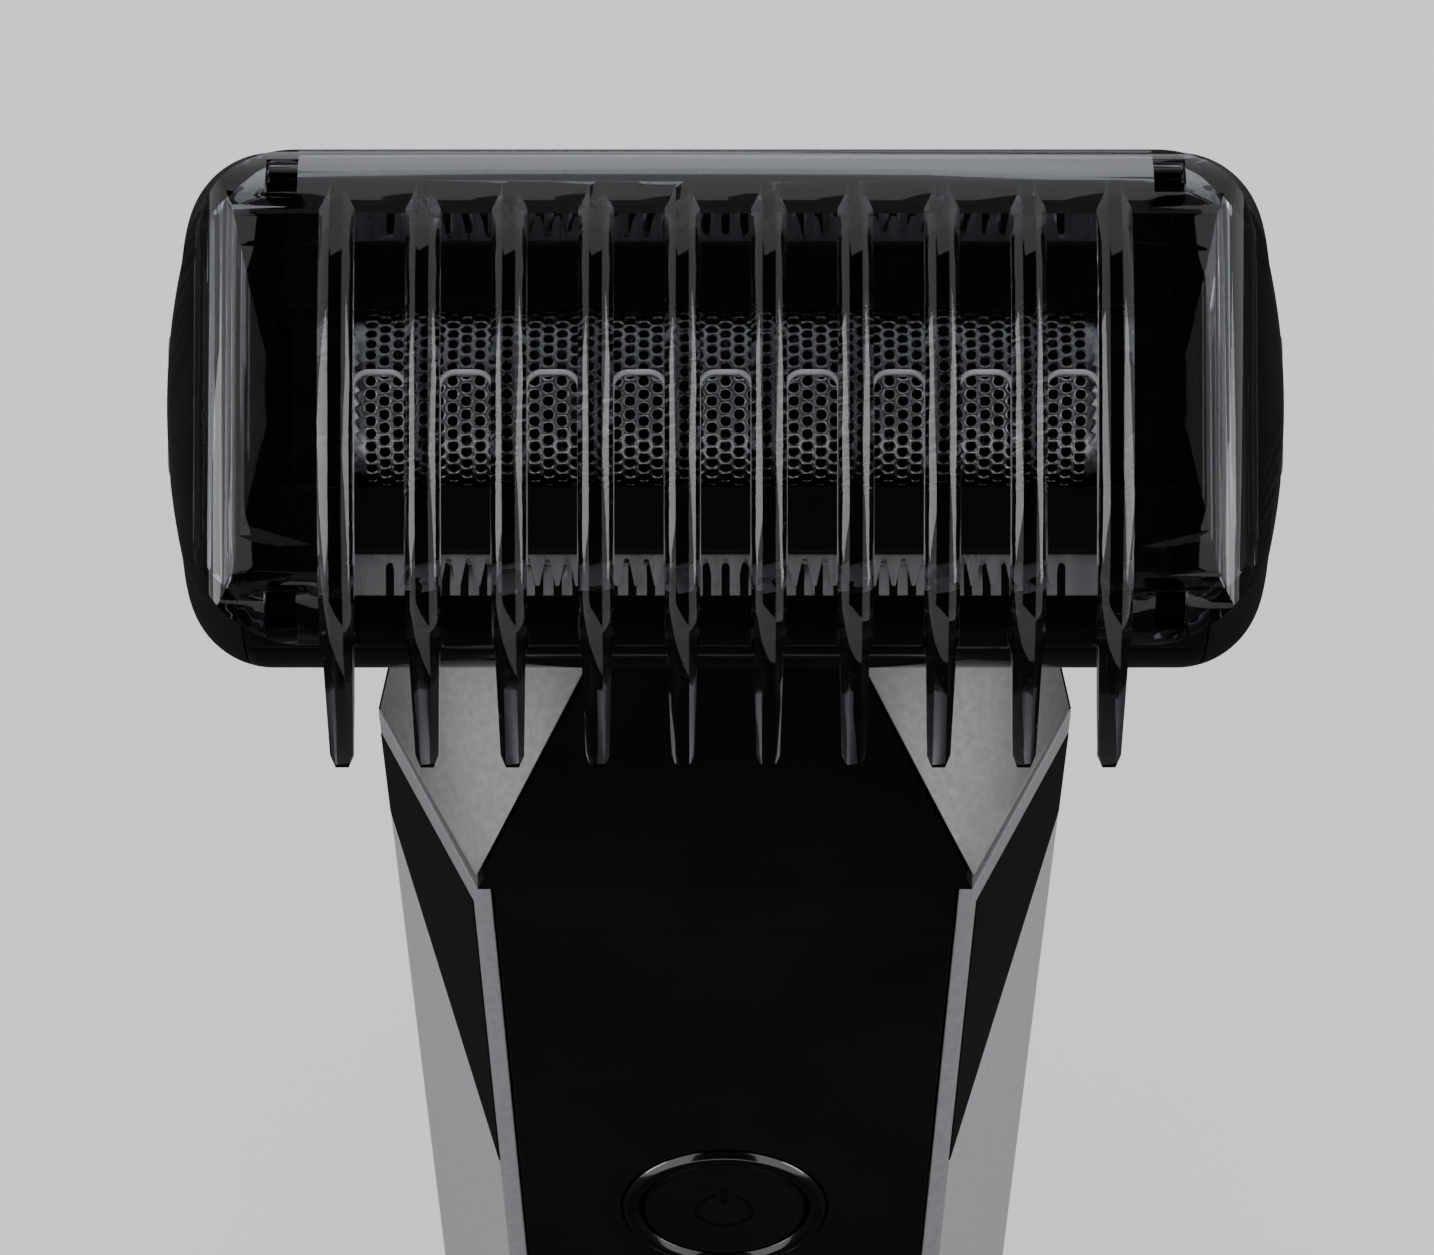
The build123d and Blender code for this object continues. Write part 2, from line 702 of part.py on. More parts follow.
with BuildPart() as housing_screws:
    for x, z in screw_places:
        seat = depth(z) - 1.5
        add(depth_rod(x, z, 0.8, (8.4, seat)))
        add(depth_rod(x, z, 1.6, (seat, seat + 1.2)))
        cross_y = (seat + 0.6, seat + 2)
        add(upright_block((x - 1.1, x + 1.1), cross_y, (z - 0.2, z + 0.2)), mode=Mode.SUBTRACT)
        add(upright_block((x - 0.2, x + 0.2), cross_y, (z - 1.1, z + 1.1)), mode=Mode.SUBTRACT)

grip_half = 8.4
grip_z = (16.0, 97.0)
with BuildPart() as rear_grip:
    with BuildSketch(Plane(origin=(-grip_half, 0, 0), x_dir=(0, 1, 0), z_dir=(1, 0, 0))):
        with BuildLine():
            Line((depth(grip_z[0]), grip_z[0]), (depth(grip_z[1]), grip_z[1]))
            Line((depth(grip_z[1]), grip_z[1]), (depth(grip_z[1]) + 0.7, grip_z[1] - 0.7))
            Spline(
                (depth(grip_z[1]) + 0.7, grip_z[1] - 0.7),
                (14.6, 78),
                (15.0, 55),
                (13.9, 32),
                (depth(grip_z[0]) + 0.7, grip_z[0] + 0.7),
            )
            Line((depth(grip_z[0]) + 0.7, grip_z[0] + 0.7), (depth(grip_z[0]), grip_z[0]))
        make_face()
    extrude(amount=2 * grip_half)
    with BuildSketch(Plane(origin=(0, 10, 0), x_dir=(1, 0, 0), z_dir=(0, -1, 0))):
        with Locations((0, sum(grip_z) / 2)):
            RectangleRounded(2 * grip_half, grip_z[1] - grip_z[0], 4)
    extrude(amount=-10, mode=Mode.INTERSECT)
    for number in range(14):
        z = 28 + number * 4.2
        groove_y = 13.55 + 1.05 * math.sin(math.radians(180 * (z - 16) / 81))
        groove = upright_block((-6.2, 6.2), (groove_y - 0.1, 20), (z - 0.6, z + 0.6))
        add(groove, mode=Mode.SUBTRACT)

with BuildPart() as base_cap:
    add(handle(0, cap_top_z, 0))
    add(handle(2.2, cap_top_z + 1, skin), mode=Mode.SUBTRACT)
    add(handle(2.2, cap_top_z, skin - 0.5) - handle(2, cap_top_z + 1, skin + 1.1))
    add(handle(cap_top_z - 0.5, lip_top_z, skin + 0.1) - handle(cap_top_z - 1, lip_top_z + 1, skin + 1.1))
    add(upright_rod(0, socket_y, 3.45, (-1, 5)), mode=Mode.SUBTRACT)

with BuildPart() as charging_socket:
    add(upright_rod(0, socket_y, 3.4, (0.3, 9.3)))
    add(upright_rod(0, socket_y, 4.2, (2.25, 3.2)))
    add(upright_rod(0, socket_y, socket_bore, (0, 6.3)), mode=Mode.SUBTRACT)

# ---------------------------------------------------------------- controls on the panel

with BuildPart() as button_bezel:
    add(depth_rod(0, button_z, 6.3, (-13.15, -10.95)))
    add(depth_rod(0, button_z, 5.15, (-20, 0)), mode=Mode.SUBTRACT)
    chamfer(button_bezel.edges().group_by(Axis.Y)[0], 0.35)

with BuildPart() as power_button:
    add(depth_rod(0, button_z, button_radius, (-12.95, -10.7)))
    add(depth_rod(0, button_z, 6.0, (-10.75, -10.1)))
    add(depth_rod(0, button_z, 1.4, (-10.1, -9.75)))
    fillet(power_button.edges().group_by(Axis.Y)[0], 0.4)
    with BuildSketch(Plane(origin=(0, -13.5, button_z), x_dir=(1, 0, 0), z_dir=(0, 1, 0))):
        Circle(1.9)
        Circle(1.5, mode=Mode.SUBTRACT)
        with Locations((0, -1.7)):
            Rectangle(1.3, 1.2, mode=Mode.SUBTRACT)
        with Locations((0, -1.6)):
            Rectangle(0.4, 1.8)
    extrude(amount=0.75, mode=Mode.SUBTRACT)

with BuildPart() as indicator_lens:
    add(depth_rod(0, indicator_z, 1.0, (-12.72, -9.2)))
    fillet(indicator_lens.edges().group_by(Axis.Y)[0], 0.3)

with BuildPart() as tact_switch:
    add(upright_block((-3, 3), (-8.7, -7.6), (button_z - 3, button_z + 3)))
    add(depth_rod(0, button_z, 1.5, (-9.1, -8.6)))

with BuildPart() as circuit_board:
    add(upright_block((-7.5, 7.5), (-7.6, -6.4), (30, 98)))
    for x, z, width, height in (
        (-3.5, 42, 4, 6), (3.5, 50, 3, 3), (-2, 92, 5, 4), (4, 40, 2, 4), (-4, 58, 2.4, 5),
    ):
        add(upright_block((x - width / 2, x + width / 2), (-8.5, -7.6), (z - height / 2, z + height / 2)))

with BuildPart() as chassis:
    add(upright_block((-8.5, 8.5), (-5.5, -4.7), (9.5, 110)))
    for z in (22, 52, 86, 102):
        with BuildSketch(Plane.XY.offset(z)):
            with Locations((0, motor_y)):
                Circle(9.2)
                Circle(7.75 if z > 80 else 7.35, mode=Mode.SUBTRACT)
            with Locations((0, motor_y + 10.5)):
                Rectangle(30, 13, mode=Mode.SUBTRACT)
        extrude(amount=4)
    for z in (36, 66, 94):
        for x in (-5.5, 5.5):
            add(upright_block((x - 1, x + 1), (-6.4, -5.4), (z - 1, z + 1)))
    for z in (16, 44, 73, 98):
        add(upright_block((-5, 5), (-6, -4.5), (z - 3, z + 3)), mode=Mode.SUBTRACT)

# ---------------------------------------------------------------- power and drive

with BuildPart() as battery:
    add(upright_rod(0, motor_y, 7.2, (13, 63)))
    fillet(battery.edges(), 0.5)
    add(upright_rod(0, motor_y, 2.4, (63, 64.2)))

with BuildPart() as battery_contacts:
    for low_z in (12.4, 64.2):
        add(upright_block((-4, 4), (motor_y - 4, motor_y + 4), (low_z, low_z + 0.6)))

with BuildPart() as motor_body:
    add(upright_rod(0, motor_y, 7.6, (80, 107)))
    fillet(motor_body.edges(), 0.8)
    add(upright_rod(0, motor_y, 3.0, (106.9, 108.4)))
    add(upright_rod(0, motor_y, 1.05, (105, 109)), mode=Mode.SUBTRACT)

with BuildPart() as motor_shaft:
    add(upright_rod(0, motor_y, 1.0, (105.3, 111.4)))

with BuildPart() as eccentric:
    add(upright_rod(0, motor_y, 4.0, (109, 111.4)))
    add(upright_rod(0, motor_y, 1.0, (108, 112)), mode=Mode.SUBTRACT)
    add(upright_rod(0, motor_y, 2.4, (111.4, 111.9)))
    add(upright_rod(orbit, motor_y, 0.8, (111.5, 116)))

arm_z = (112.6, 115.6)
post_y = head_origin.Y - bend_distance * out.Y
bend_z = head_origin.Z - bend_distance * out.Z
with BuildPart() as drive_arm:
    with BuildSketch(Plane.XY.offset(arm_z[0])):
        with Locations((0, 4.2)):
            RectangleRounded(10.6, 9.6, 1.5)
        with Locations((0, motor_y)):
            RectangleRounded(6.6, 4.4, 1.0, mode=Mode.SUBTRACT)
    extrude(amount=arm_z[1] - arm_z[0])
    add(upright_rod(0, post_y, post_radius, (arm_z[0], bend_z)))
    with Locations((0, post_y, bend_z)):
        Sphere(post_radius + 0.1)
    with Locations(Location(head_origin)):
        Sphere(ball_radius)
    with BuildSketch(face_plane(-bend_distance)):
        Circle(post_radius)
    extrude(amount=bend_distance)

bracket_z = (119.4, 120.9)
with BuildPart() as pivot_bracket:
    add(upright_block((-9.6, 9.6), (3, 9.5), bracket_z))
    add(upright_block((-2.7, 2.7), (4.6, 8.9), (bracket_z[0] - 1, bracket_z[1] + 1)), mode=Mode.SUBTRACT)
    for side in (-1, 1):
        low_x = side * ear_x - ear_thickness / 2
        with BuildSketch(side_plane(low_x)):
            Circle(ear_radius)
            with Locations((0, -bend_distance / 2)):
                Rectangle(2 * ear_radius - 0.4, bend_distance)
            with Locations((0, -bend_distance)):
                Circle(ear_radius - 0.2)
        extrude(amount=ear_thickness)
        ear_y = (post_y - ear_radius + 0.2, post_y + ear_radius - 0.2)
        add(upright_block((low_x, low_x + ear_thickness), ear_y, (bracket_z[0], bend_z)))
    add(cross_rod(pin_radius + pin_gap, (-far, far)), mode=Mode.SUBTRACT)

with BuildPart() as neck_seal:
    add(neck(skin + 0.05))
    add(cross_rod(16.1, (-far, far)), mode=Mode.INTERSECT)
    add(cross_rod(14.7, (-far, far)), mode=Mode.SUBTRACT)
    add(block((-2.5, 2.5), (-1.5, 1.5), (-20, -10)), mode=Mode.SUBTRACT)
    for side in (-1, 1):
        ear = (side * ear_x - 1.15, side * ear_x + 1.15)
        add(block(ear, (-2.1, 2.1), (-20, -10)), mode=Mode.SUBTRACT)

pieces = {
    "comb_guard": comb_guard,
    "head_housing": head_housing,
    "head_cover": head_cover,
    "end_cap_left": end_cap_left,
    "end_cap_right": end_cap_right,
    "release_button_left": release_button_left,
    "release_button_right": release_button_right,
    "release_springs": release_springs,
    "rear_trimmer_holder": rear_trimmer_holder,
    "front_trimmer_holder": front_trimmer_holder,
    "rear_fixed_blade": rear_fixed_blade,
    "front_fixed_blade": front_fixed_blade,
    "rear_moving_blade": rear_moving_blade,
    "front_moving_blade": front_moving_blade,
    "foil_frame": foil_frame,
    "foil": foil,
    "foil_springs": foil_springs,
    "cutter_carrier": cutter_carrier,
    "cutter_blades": cutter_blades,
    "pivot_pins": pivot_pins,
    "head_screws": head_screws,
    "shoulder_housing": shoulder_housing,
    "facet_trim_left": facet_trim_left,
    "facet_trim_right": facet_trim_right,
    "rail_left": rail_left,
    "rail_right": rail_right,
    "front_panel": front_panel,
    "side_shell_left": side_shell_left,
    "side_shell_right": side_shell_right,
    "rear_shell": rear_shell,
    "rear_grip": rear_grip,
    "base_cap": base_cap,
    "charging_socket": charging_socket,
    "housing_screws": housing_screws,
    "button_bezel": button_bezel,
    "power_button": power_button,
    "indicator_lens": indicator_lens,
    "tact_switch": tact_switch,
    "circuit_board": circuit_board,
    "chassis": chassis,
    "battery": battery,
    "battery_contacts": battery_contacts,
    "motor_body": motor_body,
    "motor_shaft": motor_shaft,
    "eccentric": eccentric,
    "drive_arm": drive_arm,
    "pivot_bracket": pivot_bracket,
    "neck_seal": neck_seal,
}

for name, piece in pieces.items():
    piece.part.label = name
    export_step(piece.part, f"parts/{name}.step")
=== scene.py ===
import json
import math

import bpy
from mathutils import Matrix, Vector


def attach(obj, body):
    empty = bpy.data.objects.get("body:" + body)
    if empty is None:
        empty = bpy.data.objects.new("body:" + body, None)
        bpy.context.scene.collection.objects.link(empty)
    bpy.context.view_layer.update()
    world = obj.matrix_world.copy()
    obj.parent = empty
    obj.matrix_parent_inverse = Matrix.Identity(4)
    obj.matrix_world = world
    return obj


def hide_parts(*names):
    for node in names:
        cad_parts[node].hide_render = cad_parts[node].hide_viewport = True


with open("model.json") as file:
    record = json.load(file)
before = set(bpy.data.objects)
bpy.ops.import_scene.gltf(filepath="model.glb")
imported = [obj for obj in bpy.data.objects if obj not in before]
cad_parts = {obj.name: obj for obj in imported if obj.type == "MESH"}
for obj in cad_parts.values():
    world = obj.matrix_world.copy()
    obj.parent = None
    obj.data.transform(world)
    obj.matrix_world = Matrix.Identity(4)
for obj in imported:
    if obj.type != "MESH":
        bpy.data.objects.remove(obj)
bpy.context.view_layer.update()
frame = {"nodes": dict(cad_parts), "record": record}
nodes = frame["nodes"]

MM = 0.001
TILT = math.radians(35)
ALONG = Vector((1, 0, 0))
BACK = Vector((0, math.cos(TILT), math.sin(TILT)))
OUT = Vector((0, -math.sin(TILT), math.cos(TILT)))
PIVOT = Vector((0, -0.003, 0.146))

# Looks of the materials and edges. Scales are in features per metre, depths in metres.
SMOKE_DENSITY = 900.0
NOISE_LOW = 0.3
NOISE_HIGH = 0.7
COAT_ROUGHNESS = 0.05
ACRYLIC_IOR = 1.49
RUBBER_IOR = 1.45
PLASTIC_SHADE_SCALE = 60
PLASTIC_ROUGH_SCALE = 140
PLASTIC_DEPTH = 0.00003
METAL_DEPTH = 0.00002
RUBBER_DEPTH = 0.00006
COMB_DEPTH = 0.0001
WELD_DISTANCE = 0.000002
BEVEL_SEGMENTS = 2
BEVEL_ANGLE = math.radians(32)
NORMAL_WEIGHT = 80

# The comb's crown between its ribs is shaded flat, so that the foil shows clearly through it.
FLAT_TOP = 0.97
COMB_FLAT_X = 0.0235


# ------------------------------------------------------------------ materials


class Paint:
    """A procedural material: one Principled shader with noise on colour, roughness and surface."""

    def __init__(self, name, metallic=0.0, ior=1.5, coat=0.0, transmission=0.0):
        self.material = bpy.data.materials.new(name)
        self.material.use_nodes = True
        self.tree = self.material.node_tree
        self.tree.nodes.clear()
        self.output = self.add("ShaderNodeOutputMaterial")
        self.shader = self.add("ShaderNodeBsdfPrincipled")
        self.link(self.shader, "BSDF", self.output, "Surface")
        self.shader.inputs["Metallic"].default_value = metallic
        self.shader.inputs["IOR"].default_value = ior
        self.shader.inputs["Coat Weight"].default_value = coat
        self.shader.inputs["Coat Roughness"].default_value = COAT_ROUGHNESS
        self.shader.inputs["Transmission Weight"].default_value = transmission
        self.coords = self.add("ShaderNodeTexCoord")

    def add(self, kind):
        return self.tree.nodes.new(kind)

    def link(self, a, a_name, b, b_name):
        self.tree.links.new(a.outputs[a_name], b.inputs[b_name])

    def noise(self, scale, stretch=(1, 1, 1), detail=4.0, tilted=False):
        """Noise with features of about 1/scale metres, stretched along some axes."""
        mapping = self.add("ShaderNodeMapping")
        mapping.inputs["Scale"].default_value = stretch
        if tilted:
            mapping.inputs["Rotation"].default_value = (-TILT, 0, 0)
        self.link(self.coords, "Object", mapping, "Vector")
        noise = self.add("ShaderNodeTexNoise")
        noise.inputs["Scale"].default_value = scale
        noise.inputs["Detail"].default_value = detail
        self.link(mapping, "Vector", noise, "Vector")
        return noise

    def spread(self, node, low, high):
        """The noise's factor stretched to run from low to high."""
        spread = self.add("ShaderNodeMapRange")
        spread.inputs["From Min"].default_value = NOISE_LOW
        spread.inputs["From Max"].default_value = NOISE_HIGH
        spread.inputs["To Min"].default_value = low
        spread.inputs["To Max"].default_value = high
        self.link(node, "Fac", spread, "Value")
        return spread

    def colour(self, node, dark, light):
        """Colour that wanders between two shades."""
        ramp = self.add("ShaderNodeValToRGB")
        ramp.color_ramp.elements[0].position = NOISE_LOW
        ramp.color_ramp.elements[0].color = (*dark, 1)
        ramp.color_ramp.elements[1].position = NOISE_HIGH
        ramp.color_ramp.elements[1].color = (*light, 1)
        self.link(node, "Fac", ramp, "Fac")
        self.link(ramp, "Color", self.shader, "Base Color")

    def rough(self, node, low, high):
        """Roughness that wanders between two values."""
        self.link(self.spread(node, low, high), "Result", self.shader, "Roughness")

    def bump(self, node, strength, distance):
        """Fine relief, distance metres high at full strength."""
        bump = self.add("ShaderNodeBump")
        bump.inputs["Strength"].default_value = strength
        bump.inputs["Distance"].default_value = distance
        self.link(node, "Fac", bump, "Height")
        self.link(bump, "Normal", self.shader, "Normal")


def plastic(name, dark, light, rough, grain, bump, coat=0.0, shine=0.5):
    """Moulded plastic with a fine surface grain."""
    paint = Paint(name, coat=coat)
    paint.shader.inputs["Specular IOR Level"].default_value = shine
    paint.colour(paint.noise(PLASTIC_SHADE_SCALE), dark, light)
    paint.rough(paint.noise(PLASTIC_ROUGH_SCALE, detail=6), *rough)
    paint.bump(paint.noise(grain, detail=3), bump, PLASTIC_DEPTH)
    return paint.material


def metal(
    name, dark, light, rough, stretch=(0.05, 1, 1), grain=4000, bump=0.15, tilted=False, metallic=1.0
):
    """Metal or metallic paint. The grain runs along the axis with the smallest stretch."""
    paint = Paint(name, metallic=metallic)
    paint.colour(paint.noise(grain / 3, stretch, tilted=tilted), dark, light)
    paint.rough(paint.noise(grain / 2, stretch, tilted=tilted), *rough)
    paint.bump(paint.noise(grain, stretch, detail=2, tilted=tilted), bump, METAL_DEPTH)
    return paint.material


def clear_plastic():
    """The comb's clear plastic, with a grey smoke through its thickness."""
    paint = Paint("clear_smoke", ior=ACRYLIC_IOR, transmission=1.0)
    paint.colour(paint.noise(50), (0.80, 0.81, 0.83), (0.88, 0.89, 0.91))
    paint.rough(paint.noise(220, detail=6), 0.0, 0.03)
    paint.bump(paint.noise(160, detail=2), 0.02, COMB_DEPTH)
    smoke = paint.add("ShaderNodeVolumeAbsorption")
    smoke.inputs["Color"].default_value = (0.5, 0.5, 0.52, 1)
    smoke.inputs["Density"].default_value = SMOKE_DENSITY
    paint.link(smoke, "Volume", paint.output, "Volume")
    return paint.material


def rim_highlight_plastic():
    """Light grey on the comb's slot edges: a painted highlight, where light catches the rounded edge of
    each slot.
    """
    paint = Paint("rim_highlight", ior=ACRYLIC_IOR, transmission=0.45)
    paint.colour(paint.noise(400), (0.42, 0.42, 0.43), (0.56, 0.56, 0.57))
    paint.rough(paint.noise(700, detail=6), 0.25, 0.45)
    paint.bump(paint.noise(1500, detail=2), 0.1, PLASTIC_DEPTH)
    return paint.material


def rubber(name):
    """Matt rubber with a coarse moulded grain."""
    paint = Paint(name, ior=RUBBER_IOR)
    paint.colour(paint.noise(90), (0.022, 0.022, 0.024), (0.035, 0.035, 0.037))
    paint.rough(paint.noise(300, detail=8), 0.55, 0.75)
    paint.bump(paint.noise(2600, detail=4), 0.5, RUBBER_DEPTH)
    return paint.material


MATERIALS = {
    "clear_plastic": clear_plastic(),
    "black_gloss": plastic(
        "black_gloss", (0.0030, 0.0030, 0.0036), (0.0055, 0.0055, 0.0062),
        (0.05, 0.11), 500, 0.04, shine=0.05,
    ),
    "black_satin": plastic(
        "black_satin", (0.006, 0.006, 0.007), (0.011, 0.011, 0.012), (0.25, 0.4), 2200, 0.25, shine=0.12
    ),
    "grey_plastic": plastic(
        "grey_plastic", (0.10, 0.10, 0.105), (0.15, 0.15, 0.155), (0.3, 0.45), 2200, 0.25
    ),
    "white_plastic": plastic(
        "white_plastic", (0.62, 0.62, 0.60), (0.74, 0.74, 0.71), (0.35, 0.5), 1800, 0.2
    ),
    "board": plastic("board", (0.008, 0.07, 0.025), (0.015, 0.11, 0.04), (0.3, 0.45), 1500, 0.2),
    "battery_wrap": plastic("battery_wrap", (0.02, 0.07, 0.28), (0.03, 0.10, 0.36), (0.2, 0.35), 600, 0.2),
    "lens": plastic("lens", (0.25, 0.30, 0.27), (0.32, 0.38, 0.34), (0.05, 0.12), 400, 0.05, 0.8),
    "spring_steel": metal("spring_steel", (0.42, 0.42, 0.43), (0.58, 0.58, 0.59), (0.2, 0.35)),
    "blade_steel": metal(
        "blade_steel", (0.32, 0.32, 0.325), (0.42, 0.42, 0.425),
        (0.22, 0.38), (1, 0.06, 0.06), tilted=True, metallic=0.5,
    ),
    # Darker copy of blade_steel for the cutter blades: painted shade, where the blades sit in shadow
    # inside the head under the foil.
    "painted_shade_steel": metal(
        "painted_shade_steel", (0.03, 0.03, 0.032), (0.06, 0.06, 0.063),
        (0.25, 0.4), (1, 0.06, 0.06), tilted=True,
    ),
    # Painted highlight for the rounded edges of the comb's slots.
    "rim_highlight": rim_highlight_plastic(),
    "foil_steel": metal(
        "foil_steel", (0.52, 0.52, 0.525), (0.62, 0.62, 0.625), (0.2, 0.3), (1, 1, 1), 2500, 0.05
    ),
    "screw_steel": metal("screw_steel", (0.03, 0.03, 0.032), (0.06, 0.06, 0.063), (0.3, 0.5), (1, 1, 1)),
    "chrome_ring": metal(
        "chrome_ring", (0.09, 0.09, 0.092), (0.12, 0.12, 0.122), (0.08, 0.16), (1, 1, 1), 1500, 0.05
    ),
    "contact_nickel": metal("contact_nickel", (0.5, 0.47, 0.4), (0.64, 0.6, 0.52), (0.25, 0.4)),
    "motor_steel": metal("motor_steel", (0.4, 0.4, 0.42), (0.55, 0.55, 0.57), (0.3, 0.45), (1, 1, 0.05)),
    "bracket_steel": metal(
        "bracket_steel", (0.4, 0.4, 0.41), (0.52, 0.52, 0.53), (0.3, 0.45), (1, 1, 0.08)
    ),
    "silver_paint": metal(
        "silver_paint", (0.105, 0.105, 0.108), (0.13, 0.13, 0.133),
        (0.36, 0.42), (1, 1, 1), 6000, 0.08, metallic=0.5,
    ),
    "light_silver": metal(
        "light_silver", (0.44, 0.44, 0.45), (0.50, 0.50, 0.51),
        (0.36, 0.42), (1, 1, 1), 6000, 0.08, metallic=0.4,
    ),
    # Lighter copy of silver_paint for the side rails: painted light, standing in for light the rails'
    # faces don't catch.
    "lit_rail_silver": metal(
        "lit_rail_silver", (0.24, 0.24, 0.245), (0.29, 0.29, 0.295),
        (0.36, 0.42), (1, 1, 1), 6000, 0.08, metallic=0.3,
    ),
    "grip_rubber": rubber("grip_rubber"),
    "seal_rubber": rubber("seal_rubber"),
}

# Nodes with rounded walls, which take their normals from the bevel.
ROUNDED = {"comb_guard", "head_housing", "head_cover", "end_cap_left", "end_cap_right"}
# Nodes that show a darker or lighter copy of their slot's finish: painted shade on the cutter blades,
# painted light on the rails.
LIT_AND_SHADED_COPIES = {"cutter_blades": "painted_shade_steel", "rail_left": "lit_rail_silver", "rail_right": "lit_rail_silver"}
SLOTS = {part["node"]: part["material_slot"] for part in frame["record"]["subparts"]}

# Width of the rounded edges in mm, by slot.
BEVELS = {
    "clear_plastic": 0.16,
    "black_gloss": 0.22,
    "black_satin": 0.15,
    "silver_paint": 0.12,
    "light_silver": 0.25,
    "blade_steel": 0.02,
    "chrome_ring": 0.1,
    "grip_rubber": 0.3,
    "grey_plastic": 0.12,
    "seal_rubber": 0.15,
}


def dress(node, width):
    """Welds the CAD mesh, rounds its edges a little and gives it its slot's material; the cutter blades
    get a darker copy as painted shade, the rails a lighter copy as painted light.
    """
    obj = nodes[node]
    obj.data.materials.clear()
    # The cutter blades and rails take a darker or lighter copy of their finish: painted shade and painted
    # light.
    obj.data.materials.append(MATERIALS[LIT_AND_SHADED_COPIES.get(node, SLOTS[node])])
    for polygon in obj.data.polygons:
        over_foil = node == "comb_guard" and abs(polygon.center.x) < COMB_FLAT_X
        polygon.use_smooth = not (over_foil and abs(polygon.normal.dot(OUT)) > FLAT_TOP)
    weld = obj.modifiers.new("weld", "WELD")
    weld.merge_threshold = WELD_DISTANCE
    if width:
        bevel = obj.modifiers.new("bevel", "BEVEL")
        bevel.width = width * MM
        bevel.segments = BEVEL_SEGMENTS
        bevel.limit_method = "ANGLE"
        bevel.angle_limit = BEVEL_ANGLE
        bevel.use_clamp_overlap = True
        bevel.harden_normals = node in ROUNDED
    if node not in ROUNDED:
        normals = obj.modifiers.new("normals", "WEIGHTED_NORMAL")
        normals.keep_sharp = True
        normals.weight = NORMAL_WEIGHT


for node in nodes:
    if node != "foil":
        dress(node, BEVELS.get(SLOTS[node], 0))


# ------------------------------------------------------------------ the foil, with its holes, in mm

FOIL_RADIUS = 5.3
FOIL_BASE = 4.7
FOIL_HALF = 20.0
COLUMN = 0.727
ROW = 0.72
HOLE = 0.285
SIDES = 12
ROWS = 11
SOLID_ROWS = 3
SOLID_END = 0.6
FOIL_THICKNESS = 0.08


def head_point(x, v, w):
    """A point in the head's own axes, in mm, as a place in the row frame."""
    return PIVOT + (ALONG * x + BACK * v + OUT * w) * MM


def foil_point(x, s):
    """A point on the arched foil, s mm round the arch from its top."""
    angle = s / FOIL_RADIUS
    return head_point(x, FOIL_RADIUS * math.sin(angle), FOIL_BASE + FOIL_RADIUS * math.cos(angle))


def new_object(name, verts, faces):
    """An object in the scene with this mesh."""
    mesh = bpy.data.meshes.new(name)
    mesh.from_pydata(verts, [], faces)
    mesh.validate()
    obj = bpy.data.objects.new(name, mesh)
    bpy.context.scene.collection.objects.link(obj)
    return obj


def perforated_foil():
    """The foil as hexagonal cells, each with a round hole except along the foil's edges."""
    verts, faces, found = [], [], {}

    def corner(x, s):
        x = max(-FOIL_HALF, min(FOIL_HALF, x))
        key = (round(x, 3), round(s, 3))
        if key not in found:
            found[key] = len(verts)
            verts.append(foil_point(x, s))
        return found[key]

    wide = COLUMN / 2 + ROW * ROW / (8 * COLUMN)
    narrow = COLUMN / 2 - ROW * ROW / (8 * COLUMN)
    half = ROW / 2
    hexagon = [(wide, 0), (narrow, half), (-narrow, half), (-wide, 0), (-narrow, -half), (narrow, -half)]
    rim = []
    for k in range(6):
        a, b = hexagon[k], hexagon[(k + 1) % 6]
        rim.append(a)
        rim.append(((a[0] + b[0]) / 2, (a[1] + b[1]) / 2))
    columns = int(FOIL_HALF / COLUMN)
    for i in range(-columns, columns + 1):
        for j in range(-ROWS, ROWS + 1):
            x = i * COLUMN
            s = j * ROW + (i % 2) * ROW / 2
            outer = [corner(x + a, s + b) for a, b in rim]
            if abs(x) > FOIL_HALF - SOLID_END or abs(j) > ROWS - SOLID_ROWS:
                faces.append(outer)
                continue
            start = len(verts)
            for a, b in rim:
                size = math.hypot(a, b)
                verts.append(foil_point(x + a / size * HOLE, s + b / size * HOLE))
            for k in range(SIDES):
                n = (k + 1) % SIDES
                faces.append([outer[k], outer[n], start + n, start + k])
    obj = new_object("perforated_foil", verts, faces)
    for polygon in obj.data.polygons:
        polygon.use_smooth = True
    solid = obj.modifiers.new("thickness", "SOLIDIFY")
    solid.thickness = FOIL_THICKNESS * MM
    solid.offset = -1
    obj.data.materials.append(MATERIALS["foil_steel"])
    return obj


foil = perforated_foil()
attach(foil, "foil_cartridge")
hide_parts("foil")

# ------------------------------------------------------------------ the comb's slot edges with a painted highlight, in mm

RIB_PITCH = 4.58
SLOTS_ACROSS = 9
RIM_HALF = 1.45
RIM_TOP = 0.95
RIM_CORNER = 0.9
RIM_LOW = -9.2
RIM_RADIUS = 0.14
RIM_SIDES = 8
RIM_STEPS = 8
CORNER_STEPS = 7
CORNER_ANGLE = 15
CROWN = 12.8
CROWN_RADIUS = 72.4


def rim_path(centre):
    """The edge of one slot as (x, v) points: up one side, round the end and down the other."""
    corner_v = RIM_TOP - RIM_CORNER
    points = [(-RIM_HALF, RIM_LOW + (corner_v - RIM_LOW) * k / RIM_STEPS) for k in range(RIM_STEPS)]
    for k in range(CORNER_STEPS):
        angle = math.radians(180 - CORNER_ANGLE * k)
        x = RIM_CORNER - RIM_HALF + RIM_CORNER * math.cos(angle)
        points.append((x, corner_v + RIM_CORNER * math.sin(angle)))
    points += [(-x, v) for x, v in reversed(points)]
    return [(centre + x, v) for x, v in points]


